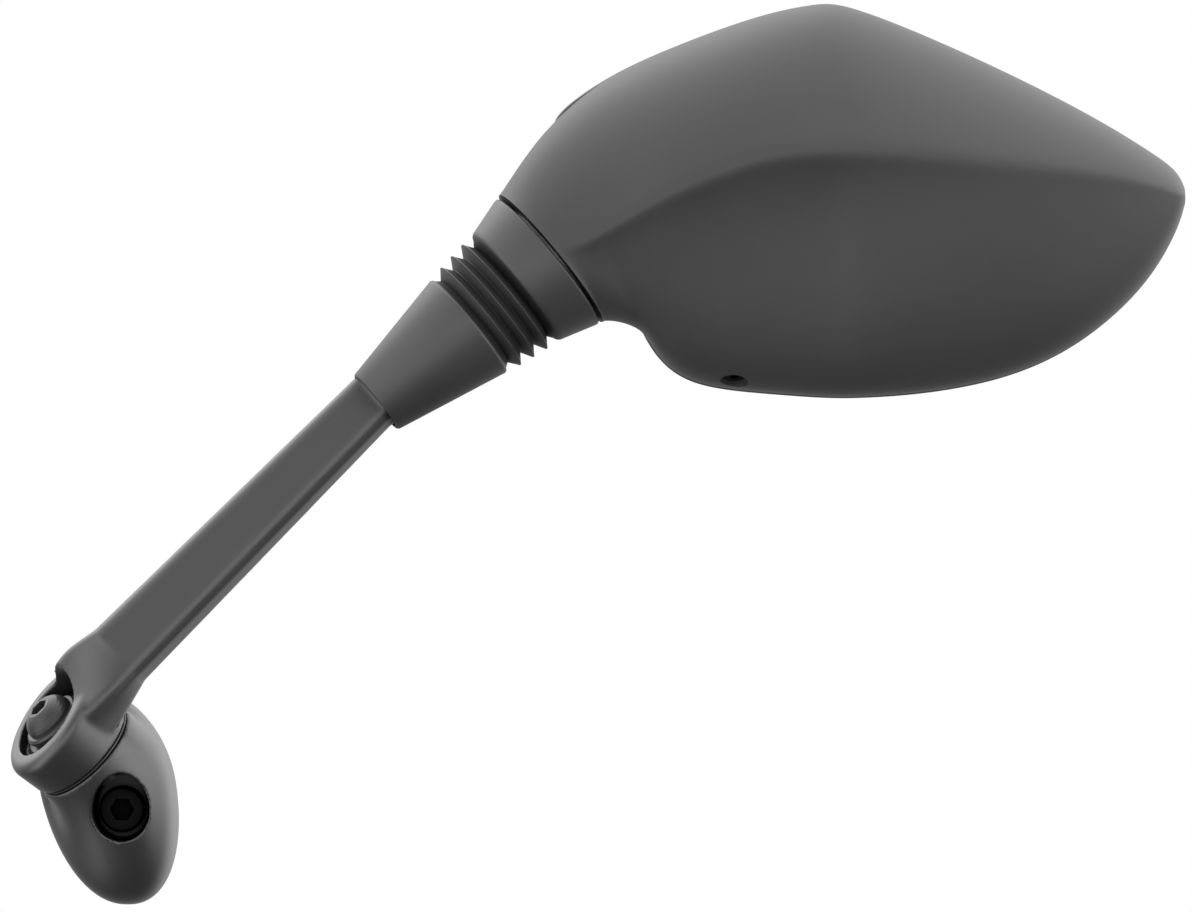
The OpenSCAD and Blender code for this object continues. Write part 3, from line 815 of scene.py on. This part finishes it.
@dataclass
class Arm:
    """The cast stem with its eye and the plug under the boot."""

    root: float = 26.0
    first: float = -3.0
    end: float = 128.0
    width: tuple[float, float] = (19.0, 15.8)
    thick: tuple[float, float] = (12.0, 10.2)
    centre: tuple[tuple[float, float], tuple[float, float]] = ((-6.5, 15.8), (-9.4, 17.0))
    roll: float = 49.0
    round_over: tuple[float, float, float, float] = (3.2, 5.0, 3.2, 3.2)
    most_round: float = 0.42
    plug_r: tuple[float, float] = (8.25, 11.4)
    plug_z: tuple[float, float] = (-41.6, -14.2)
    body_skin: tuple[float, int] = (0.5, 14)
    last_skin: tuple[float, int] = (0.45, 4)
    eye_keys: tuple = (
        ((-14, 14.6), (12, 15), (12, 3), (-14, 2)),
        ((-15.6, 15), (11, 19.5), (13.5, 4.5), (-15, 2)),
        ((-17, 14.6), (6.5, 24.6), (11, 9), (-13.6, 2.4)),
        ((-17.8, 13.6), (0.5, 27.4), (7.6, 14.5), (-11, 3)),
    )

    def straight(self, d: float) -> Array:
        """Find the corners of the stem's straight part.

        Args:
            d: Distance along the stem from the pivot axis.

        Returns:
            The four corners.
        """
        share = (d - self.root) / (self.end - self.root)
        w, t = mix(*self.width, share) / 2.0, mix(*self.thick, share) / 2.0
        middle = mix(np.array(self.centre[0]), np.array(self.centre[1]), share)
        wide = np.array([math.cos(math.radians(self.roll)), math.sin(math.radians(self.roll))])
        thick = np.array([-wide[1], wide[0]])
        signs = ((-1, 1), (1, 1), (1, -1), (-1, -1))
        return np.array([middle + a * w * wide + b * t * thick for a, b in signs])

    def corners(self, d: float) -> Array:
        """Find the corners of the arm's section.

        Args:
            d: Distance along the stem from the pivot axis.

        Returns:
            The four corners.
        """
        if d >= self.root:
            return self.straight(d)
        stem = [self.straight(self.root), self.straight(2 * self.root)]
        keys = np.array([*np.array(self.eye_keys, float), *stem])
        place = (d - self.first) / (self.root - self.first) * len(self.eye_keys)
        return spline(keys.reshape(len(keys), 8), place).reshape(4, 2)

    def ring(self, d: float) -> Array:
        """Draw the arm's rounded section.

        Args:
            d: Distance along the stem from the pivot axis.

        Returns:
            The section's points in the row frame.
        """
        corners = self.corners(d)
        t = np.linspace(0.0, 1.0, 13)[:, None]
        out = []
        for i, r in enumerate(self.round_over):
            back, on = corners[i - 1] - corners[i], corners[(i + 1) % 4] - corners[i]
            back_l, on_l = np.linalg.norm(back), np.linalg.norm(on)
            back_r, on_r = min(r, back_l * self.most_round), min(r, on_l * self.most_round)
            out.append(corners[i] + back / back_l * back_r * (1 - t) ** 2 + on / on_l * on_r * t**2)
        flat = np.concatenate(out)[::-1]
        return PIVOT.points(np.column_stack([np.full(len(flat), d), flat]))

    def eye(self) -> bpy.types.Object:
        """Build the eye round the pivot.

        Returns:
            The eye without its pocket.
        """
        rims = [(SIZE.eye_r - SIZE.eye_edge * (1 - math.cos(a)), 1.0, SIZE.eye_edge * (math.sin(a) - 1))
                for a in np.linspace(0.0, math.pi / 2, 7)]
        angles = np.linspace(0.0, 2.0 * math.pi, 120, endpoint=False)
        rings = []
        for r, share, drop in [(SIZE.seat_r - 0.4, 0.0, 0.0), (SIZE.seat_r, 0.03, 0.0), *rims]:
            top = SIZE.eye_h + r * np.cos(angles) * math.tan(math.radians(SIZE.eye_slope))
            z = mix(SIZE.friction_t, top, share) + drop
            rings.append(PIVOT.points(np.stack([r * np.cos(angles), r * np.sin(angles), z], -1)))
        return loft("eye", np.array(rings))

    def build(self) -> bpy.types.Object:
        """Build the arm.

        Returns:
            The arm, riding its own body.
        """
        stations = [*np.linspace(self.first, self.root, 40), *np.linspace(self.root, self.end, 30)[1:]]
        stem = loft("stem", np.array([self.ring(d) for d in stations]))
        plug = rod("plug", BALL, self.plug_r[0], *self.plug_z, self.plug_r[1])
        body = soften(joined("arm_casting", [self.eye(), stem, plug]), *self.body_skin)
        pocket = rod("pocket", PIVOT, SIZE.pocket_r, SIZE.pocket_floor, CLEAR)
        made = soften(cut(body, pocket), *self.last_skin)
        CAST.on(made)
        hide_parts("arm")
        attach(made, "arm")
        log.info("arm: %d faces", len(made.data.polygons))
        return made


@dataclass
class Boot:
    """The moulded rubber boot: sleeve, folds and collar.

    One moulding, drawn in three lengths because each crosses one of the ball's joints. A bend is
    the two bodies that a length joins and the heights between which it passes from one to the other.
    """

    crest_first: float = 17.5
    crest_last: float = 18.7
    pitch: float = 4.3
    depth: float = 2.9
    folds: int = 3
    fold_wall: float = 1.27
    bore: float = 16.05
    sleeve: Array = field(default_factory=lambda: np.array([
        [9.3, -42.2], [9.8, -41.7], [16.35, -9.6], [16.5, -9.1], [16.3, -8.5], [15.6, -8.05], [14.6, -6.6]]))
    collar: Array = field(default_factory=lambda: np.array([
        [15.8, 6.4], [17.7, 7.85], [18.6, 8.25], [19.1, 8.8], [19.35, 9.6], [22.25, 19.2], [22.3, 19.7],
        [22.1, 20.05], [21.7, 20.2]]))
    split: float = 2.15
    bends: tuple = (("arm", "liner", -8.0, -2.2), ("liner", "seats", -2.1, 2.1), ("seats", "head", 2.2, 8.0))

    def folded(self) -> Array:
        """Find the folds' crests and, between them, their roots.

        Returns:
            Radius and height of each, from the stem to the housing.
        """
        k = np.arange(2 * self.folds - 1)
        crest = mix(self.crest_first, self.crest_last, k / (len(k) - 1.0))
        z = -(self.folds - 1) / 2.0 * self.pitch + k * self.pitch / 2.0
        return np.column_stack([crest - np.where(k % 2, self.depth, 0.0), z])

    def outside(self) -> Array:
        """Draw the boot's outer profile.

        Returns:
            Radius and height of each point from the stem to the housing.
        """
        crest = np.array([(-0.28, -0.24), (0.0, -0.08), (0.0, 0.08), (-0.28, 0.24)])
        root = np.array([(0.05, -0.22), (0.0, 0.0), (0.05, 0.22)])
        rows = [point + (root if k % 2 else crest) for k, point in enumerate(self.folded())]
        return np.concatenate([self.sleeve, *rows, self.collar])

    def inside(self) -> Array:
        """Draw the boot's inner profile.

        Returns:
            Radius and height of each point from the housing back to the stem.
        """
        folds = self.folded()[::-1] - (self.fold_wall, 0.0)
        return np.array([(self.bore, 20.2), (self.bore, 9.6), (14.1, 6.8), *folds, (12.8, -7.0),
                         (13.0, -9.0), (11.8, -14.0), (11.45, -14.8), (8.4, -42.2)])

    def build(self) -> list[bpy.types.Object]:
        """Build the boot's three lengths.

        Returns:
            The pieces, one across each joint; the bends are not applied to them.
        """
        outer, inner = self.outside(), self.inside()[::-1]
        cuts = [(-CLEAR, -self.split), (-self.split, self.split), (self.split, CLEAR)]
        made = []
        for number, ((low, high), (a, b, start, end)) in enumerate(zip(cuts, self.bends), 1):
            profile = np.concatenate([self._between(outer, low, high), self._between(inner, low, high)[::-1]])
            piece = lathe(f"boot_length_{number}", profile, BALL, 144)
            crisp(piece, 50.0)
            RUBBER.on(piece)
            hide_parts("boot")
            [tuple(BALL.points([[0.0, 0.0, z]])[0] * MM) for z in (start, end)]
            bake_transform(piece)
            made.append(piece)
            log.info("boot length %d: %d faces", number, len(piece.data.polygons))
        return made

    @staticmethod
    def _between(profile: Array, low: float, high: float) -> Array:
        """Take the stretch of a profile between two heights.

        Args:
            profile: Radius and height of each point, rising.
            low: The lower height.
            high: The upper height.

        Returns:
            The stretch, with new points at the two heights.
        """
        inner = profile[(profile[:, 1] > low + 1e-6) & (profile[:, 1] < high - 1e-6)]
        ends = [[np.interp(z, profile[:, 1], profile[:, 0]), z] for z in (low, high)
                if profile[0, 1] < z < profile[-1, 1]]
        return np.array(sorted([*inner.tolist(), *ends], key=lambda row: row[1]))


@dataclass
class Housing:
    """The moulded leaf-shaped housing with its crease, its neck and its rim."""

    top: Array = field(default_factory=lambda: np.array([
        [4.9, 36.2], [8.4, 41.2], [18.7, 53.3], [32, 63.9], [48.1, 71.8], [72.3, 80.9], [87, 84.2],
        [94.7, 84.9], [103, 82.9], [117.1, 77.6], [141.6, 66.7], [166.4, 54.1], [182.1, 44.6],
        [190.6, 38.6], [193.2, 33.8]]))
    bottom: Array = field(default_factory=lambda: np.array([
        [30.8, -5], [37.6, -4.9], [42.8, -7.9], [47.3, -14.8], [57.5, -21.3], [76.1, -23.6], [90, -24.7],
        [97, -24.9], [104, -24.8], [121.6, -23.5], [144, -19], [164.1, -9.6], [181.6, 5.7],
        [190.6, 20.3], [193.3, 28.3]]))
    crease: Array = field(default_factory=lambda: np.array([
        [17.7, -19.2, 15.3], [23.6, -21.3, 15.8], [31.6, -22.6, 20.4], [39.6, -23.8, 25], [52.1, -24.8, 31.7],
        [73.8, -25.3, 39.9], [88, -25.2, 41.8], [95.6, -25, 42.2], [103.5, -24.7, 42.3], [119.1, -23.2, 41.7],
        [142.7, -19.5, 39.2], [165.4, -13.2, 36.8], [181.9, -5.8, 34.1], [190.6, 0.5, 31.3], [193.1, 5, 31]]))
    left: Array = field(default_factory=lambda: np.array([
        [41, -4.8], [33.5, 13], [25.5, 31], [18.9, 45.6], [16.6, 50.2], [18.4, 55]]))
    last: float = 14.0
    neck_last: float = 1.9
    neck_blend: float = 1.6
    neck_depth: float = 2.2
    up_handles: tuple[float, float] = (0.55, 0.38)
    down_handles: tuple[float, float] = (0.25, 0.78)
    up_fall: float = 0.42
    down_falls: tuple[float, float, float] = (0.3, 1.02, 0.76)
    crease_spread: float = 6.0
    crease_passes: int = 14
    bore_r: float = 18.05
    bore_z: tuple[float, float] = (10.0, 25.2)
    back_drop: tuple[float, float] = (4.5, 1.0)
    up_steps: int = 56
    down_steps: int = 72
    back_steps: int = 28
    screw_at: tuple[float, float, float] = (67.4, 6.0, -20.2)
    screw_tilt: float = 25.5
    recess_r: float = 4.0
    recess_floor: float = 2.2
    head_r: tuple[float, float] = (2.6, 3.0)
    head_top: float = 1.4
    socket_r: float = 1.4

    def __post_init__(self) -> None:
        """Move the rails' points out a little, as the solids do."""
        self.top, self.bottom, self.crease = led(self.top), led(self.bottom), led(self.crease)

    def edge_depth(self, s: float) -> float:
        """Find the depth of the top and bottom edge: the neck's middle, then the rim's side."""
        return mix(self.neck_depth, SIZE.rim_back - SIZE.rim_side, ease((s - 0.4) / 3.0))

    def front(self, s: float) -> Array:
        """Draw the front of one section, from the top edge over the crease to the bottom edge.

        Args:
            s: The place along the rails.

        Returns:
            The front's points, from the ball's centre.
        """
        top, bottom, crease = spline(self.top, s), spline(self.bottom, s), spline(self.crease, s)
        depth = self.edge_depth(s)
        up, down = top - crease[[0, 2]], bottom - crease[[0, 2]]
        at_neck, at_belly, lost_at_tip = self.down_falls
        fall_up = self.up_fall * ease(s / 3.0)
        fall_down = mix(at_neck, at_belly, ease(s / 2.0)) - lost_at_tip * ease((s - 6.0) / 5.0)
        (up_x, up_z), (down_x, down_z) = unit(up), unit(down)
        (at_top, over), (under, at_bottom) = self.up_handles, self.down_handles
        first = bezier(np.array([top[0], depth, top[1]]),
                       np.array([top[0], mix(depth, crease[1], at_top), top[1]]),
                       crease + over * np.linalg.norm(up) * np.array([up_x, fall_up, up_z]), crease,
                       np.linspace(0, 1, self.up_steps + 1)[:, None])
        second = bezier(crease, crease + under * np.linalg.norm(down) * np.array([down_x, fall_down, down_z]),
                        np.array([bottom[0], mix(depth, crease[1], at_bottom), bottom[1]]),
                        np.array([bottom[0], depth, bottom[1]]),
                        np.linspace(0, 1, self.down_steps + 1)[1:, None])
        return self._rounded(np.concatenate([first, second]))

    def _rounded(self, rows: Array) -> Array:
        """Round the crease a little, as a mould does.

        Args:
            rows: The front's points with a sharp crease.

        Returns:
            The points with a small radius at the crease.
        """
        place = np.arange(len(rows)) - self.up_steps
        share = np.exp(-((place / self.crease_spread) ** 2))[:, None]
        out = rows.copy()
        for _ in range(self.crease_passes):
            near = out.copy()
            near[1:-1] = 0.25 * out[:-2] + 0.5 * out[1:-1] + 0.25 * out[2:]
            out = mix(out, near, share)
        return out

    def back(self, s: float) -> Array:
        """Draw the back of one section, from the bottom edge to the top edge.

        Args:
            s: The place along the rails.

        Returns:
            The back's points, from the ball's centre.
        """
        top, bottom = spline(self.top, s), spline(self.bottom, s)
        if s <= self.neck_last:
            depth = self.edge_depth(s)
            turned = math.pi * (np.arange(1, self.back_steps) / self.back_steps)[:, None]
            plane = (top + bottom) / 2.0 - (top - bottom) / 2.0 * np.cos(turned)
            deep = depth + (SIZE.rim_back - self.back_drop[0] - depth) * np.sin(turned)
            return np.column_stack([plane[:, 0], deep[:, 0], plane[:, 1]])
        flat = mix(bottom, top, (np.arange(self.back_steps - 1) / (self.back_steps - 2))[:, None])
        level = np.full(len(flat), SIZE.rim_back - self.back_drop[1])
        return np.column_stack([flat[:, 0], level, flat[:, 1]])

    def neck(self, angle: Array, along: float) -> Array:
        """Draw the circle where the neck begins.

        Args:
            angle: Angles from the top over the front, in degrees.
            along: Distance past the neck's end face.

        Returns:
            The circle's points, from the ball's centre.
        """
        axis = BALL.turn[:, 2]
        rise = math.radians(SIZE.boot_rise)
        up = np.array([-math.sin(rise), 0.0, math.cos(rise)])
        side = unit(np.cross(axis, up))
        rad = np.radians(angle)[:, None]
        return axis * (SIZE.neck_start + along) + SIZE.neck_r * (np.cos(rad) * up + np.sin(rad) * side)

    def ring(self, s: float) -> Array:
        """Draw a whole section.

        Args:
            s: The place along the rails.

        Returns:
            The section's points in the row frame.
        """
        leaf = ease(s / self.neck_blend)
        front_angles = np.concatenate([np.linspace(0, 90, self.up_steps + 1),
                                       np.linspace(90, 180, self.down_steps + 1)[1:]])
        back_angles = 180.0 + 180.0 * np.arange(1, self.back_steps) / self.back_steps
        front = mix(self.neck(front_angles, 2.0 * s), self.front(s), leaf)
        back = mix(self.neck(back_angles, 2.0 * s), self.back(s), leaf)
        return np.concatenate([front, back]) + BALL.at

    def outline(self, grow: float) -> Array:
        """Draw the rim's outline.

        Args:
            grow: How far it lies outside the rails' leaf.

        Returns:
            X and Z of each point in the row frame.
        """
        row = np.concatenate([self.top[3:], self.bottom[:2:-1], self.left])
        line = closed_spline(row, 12)
        along = unit(np.roll(line, -1, 0) - np.roll(line, 1, 0))
        moved = line + grow * np.stack([-along[:, 1], along[:, 0]], -1)
        return moved + BALL.at[[0, 2]]

    def rim(self) -> bpy.types.Object:
        """Build the band of the rim with its rounded edges.

        Returns:
            The band as a closed tube round the glass.
        """
        y, w, ledge = SIZE.rim_back, SIZE.rim_w, SIZE.ledge_y
        shape = [(-1.0, y - 5.4), (0.0, y - 5.0), (0.3, y - 4.4), (0.4, y - 3.0), (0.4, y - 1.2),
                 (0.15, y - 0.5), (-0.4, y - 0.1), (-1.0, y), (-w + 0.7, y), (-w + 0.2, y - 0.2),
                 (-w, y - 0.7), (-w, ledge), (-w - 2.6, ledge), (-w - 2.6, ledge - 2.4), (-w, y - 9.0)]
        rings = []
        for grow, depth in shape:
            line = self.outline(grow)
            rings.append(np.stack([line[:, 0], np.full(len(line), depth + BALL.at[1]), line[:, 1]], -1))
        return crisp(tube("rim_band", np.array(rings)), 40.0)

    def screw(self, place: Place) -> bpy.types.Object:
        """Build the head of the carrier's screw at the bottom of its recess.

        Args:
            place: The recess's frame, whose Z points into the housing.

        Returns:
            The screw's head, riding the housing's body.
        """
        floor, (top_r, foot_r) = self.recess_floor, self.head_r
        head = rod("sunk_screw", place, top_r, floor - self.head_top, floor + 0.5, foot_r)
        cut(head, rod("socket", place, self.socket_r, floor - 3.0, floor - 0.5, around=6))
        # The screw head gets the steel painted near black as shade at the bottom of its recess
        PAINTED_SHADE_STEEL.on(crisp(head))
        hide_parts("carrier_screw")
        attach(head, "head")
        return head

    def build(self) -> list[bpy.types.Object]:
        """Build the housing.

        Returns:
            The skin, the rim and the small screw, riding the head.
        """
        stations = [*np.linspace(0.0, self.neck_last, 40), *np.linspace(2.0, self.last, 230)]
        rings = np.array([self.ring(s) for s in stations])
        skin = loft("housing_skin", rings)
        screw = Place(turn("X", -self.screw_tilt), BALL.at + np.array(self.screw_at))
        y0, y1 = SIZE.ledge_y - 3.0, SIZE.rim_back + 5.0
        opening = prism("opening", self.outline(-SIZE.rim_w - 0.4), y0 + BALL.at[1], y1 + BALL.at[1])
        recess = rod("recess", screw, self.recess_r, -20.0, self.recess_floor)
        neck_bore = rod("neck_bore", BALL, self.bore_r, *self.bore_z)
        cut(skin, recess, neck_bore, opening)
        crisp(skin, 60.0)
        pieces = [skin, self.rim()]
        for piece in pieces:
            SHELL.on(piece)
            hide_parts("housing_shell")
            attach(piece, "head")
            log.info("%s: %d faces", piece.name, len(piece.data.polygons))
        return [*pieces, self.screw(screw)]


@dataclass
class Hardware:
    """The nodes that are shown as the solids have them."""

    finishes: dict[str, Finish]

    def build(self, frame: dict) -> None:
        """Give the nodes their finishes.

        Args:
            frame: The loaded frame.
        """
        for name, made in frame["nodes"].items():
            finish = self.finishes.get(name)
            if finish is None:
                continue
            crisp(made)
            finish.on(made)
            log.info("%s: %s", name, finish.slot)


# Light and camera


@dataclass(frozen=True)
class Lobe:
    """A soft patch of light in the surroundings.

    It is strongest in the direction that it lies toward, and a higher power makes it smaller.
    """

    name: str
    toward: tuple[float, float, float]
    power: float
    strength: float

    def light(self, graph: Graph, where: bpy.types.NodeSocket) -> Signal:
        """Lay the patch over the surroundings.

        Args:
            graph: The world's graph.
            where: The direction seen.

        Returns:
            The patch's brightness in that direction.
        """
        axis = tuple(Vector(self.toward).normalized())
        settings = {"operation": "DOT_PRODUCT", "label": self.name}
        dot = graph.node("ShaderNodeVectorMath", settings, {0: where, 1: axis})
        facing = graph.signal(dot, "Value").clamped()
        return facing**self.power * self.strength


LOBES: tuple[Lobe, ...] = (
    Lobe("overhead", (0.0, 0.2, 1.0), 3.0, 2.1),
    Lobe("behind", (0.0, 1.0, 0.1), 2.0, 0.35),
    Lobe("right behind", (0.9, 0.7, 0.2), 5.0, 1.6),
    Lobe("upper left behind", (-0.7, 0.6, 0.7), 6.0, 1.9),
    Lobe("right above", (0.9, -0.4, 0.6), 5.0, 1.8),
    Lobe("front", (0.05, -1.0, 0.1), 8.0, 1.3),
    Lobe("front left", (-0.5, -0.8, -0.25), 10.0, 1.0),
    Lobe("right low", (1.0, -0.35, -0.15), 8.0, 1.4),
    Lobe("left low", (-0.8, -0.2, -0.5), 12.0, 1.5),
    Lobe("left", (-1.0, -0.4, 0.2), 8.0, 1.6),
)


@dataclass
class Studio:
    """White surroundings with soft light, the floor and the camera.

    Lengths are in metres, apart from the sensor's width and a pixel's size, in millimetres.
    """

    fill: float = 0.09
    lobes: tuple[Lobe, ...] = LOBES
    centre: tuple[float, float, float] = (0.1325, -0.010, 0.0988)
    distance: float = 3.0
    reach: float = 20.0
    sensor: float = 36.0
    photo_width: int = 1192
    mm_per_pixel: float = 0.28
    floor_z: float = -0.09
    floor_r: float = 1.4
    floor_fade: tuple[float, float] = (0.3, 0.9)
    floor_colour: tuple[float, float, float] = (0.48, 0.48, 0.48)
    floor_hidden_from: tuple[str, ...] = ("diffuse", "glossy", "shadow")

    def world(self) -> None:
        """Make the surroundings: white to the camera, soft light to the object."""
        made = bpy.data.worlds.new("surroundings")
        bpy.context.scene.world = made
        made.use_nodes = True
        graph = Graph(made.node_tree)
        where = graph.node("ShaderNodeTexCoord").outputs["Generated"]
        total: Value = self.fill
        for lobe in self.lobes:
            total = lobe.light(graph, where) + total
        ray = graph.node("ShaderNodeLightPath").outputs["Is Camera Ray"]
        soft = graph.node("ShaderNodeBackground", inputs={"Color": (1, 1, 1, 1), "Strength": total})
        white = graph.node("ShaderNodeBackground", inputs={"Color": (1, 1, 1, 1), "Strength": 1.0})
        both = graph.node("ShaderNodeMixShader", inputs={0: ray, 1: soft.outputs[0], 2: white.outputs[0]})
        graph.node("ShaderNodeOutputWorld", inputs={"Surface": both.outputs[0]})

    def floor(self) -> None:
        """Lay a plain pale floor under the mirror that fades into the white surroundings."""
        middle = (self.centre[0], self.centre[1], self.floor_z)
        under = Place(np.eye(3), np.array(middle) / MM)
        disc = rod("floor", under, self.floor_r / MM, -2.0, 0.0)
        for kind in self.floor_hidden_from:
            setattr(disc, f"visible_{kind}", False)
        made = bpy.data.materials.new("floor")
        made.use_nodes = True
        graph = Graph(made.node_tree)
        where = graph.node("ShaderNodeTexCoord").outputs["Object"]
        span = graph.node("ShaderNodeVectorMath", {"operation": "DISTANCE"}, {0: where, 1: middle})
        far = graph.signal(span, "Value").step(*(self.floor_r * share for share in self.floor_fade))
        pale = graph.node("ShaderNodeBsdfDiffuse", inputs={"Color": (*self.floor_colour, 1.0)})
        white = graph.node("ShaderNodeEmission", inputs={"Strength": 1.0})
        both = graph.node("ShaderNodeMixShader", inputs={0: far, 1: pale.outputs[0], 2: white.outputs[0]})
        graph.node("ShaderNodeOutputMaterial", inputs={"Surface": both.outputs[0]})
        disc.data.materials.append(made)

    def camera(self) -> None:
        """Place the camera as the photo's: level, square to the housing, far away."""
        data = bpy.data.cameras.new("camera")
        data.sensor_width = self.sensor
        data.lens = self.sensor * self.distance / (self.photo_width * self.mm_per_pixel * MM)
        data.clip_end = self.reach
        made = bpy.data.objects.new("camera", data)
        bpy.context.scene.collection.objects.link(made)
        made.location = (self.centre[0], self.centre[1] - self.distance, self.centre[2])
        made.rotation_euler = (math.radians(90.0), 0.0, 0.0)
        bpy.context.scene.camera = made

    def build(self) -> None:
        """Set up the light, the floor, the camera and the plain view transform."""
        self.world()
        self.floor()
        self.camera()
        bpy.context.scene.view_settings.view_transform = "Standard"
        log.info("studio: %d patches of light", len(self.lobes))


def main() -> None:
    """Build the whole scene."""
    logging.basicConfig(level=logging.INFO, format="%(message)s")
    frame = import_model()
    Foot().build()
    Arm().build()
    Boot().build()
    Housing().build()
    Hardware(CAD_FINISHES).build(frame)
    Studio().build()


if __name__ == "__main__":
    main()
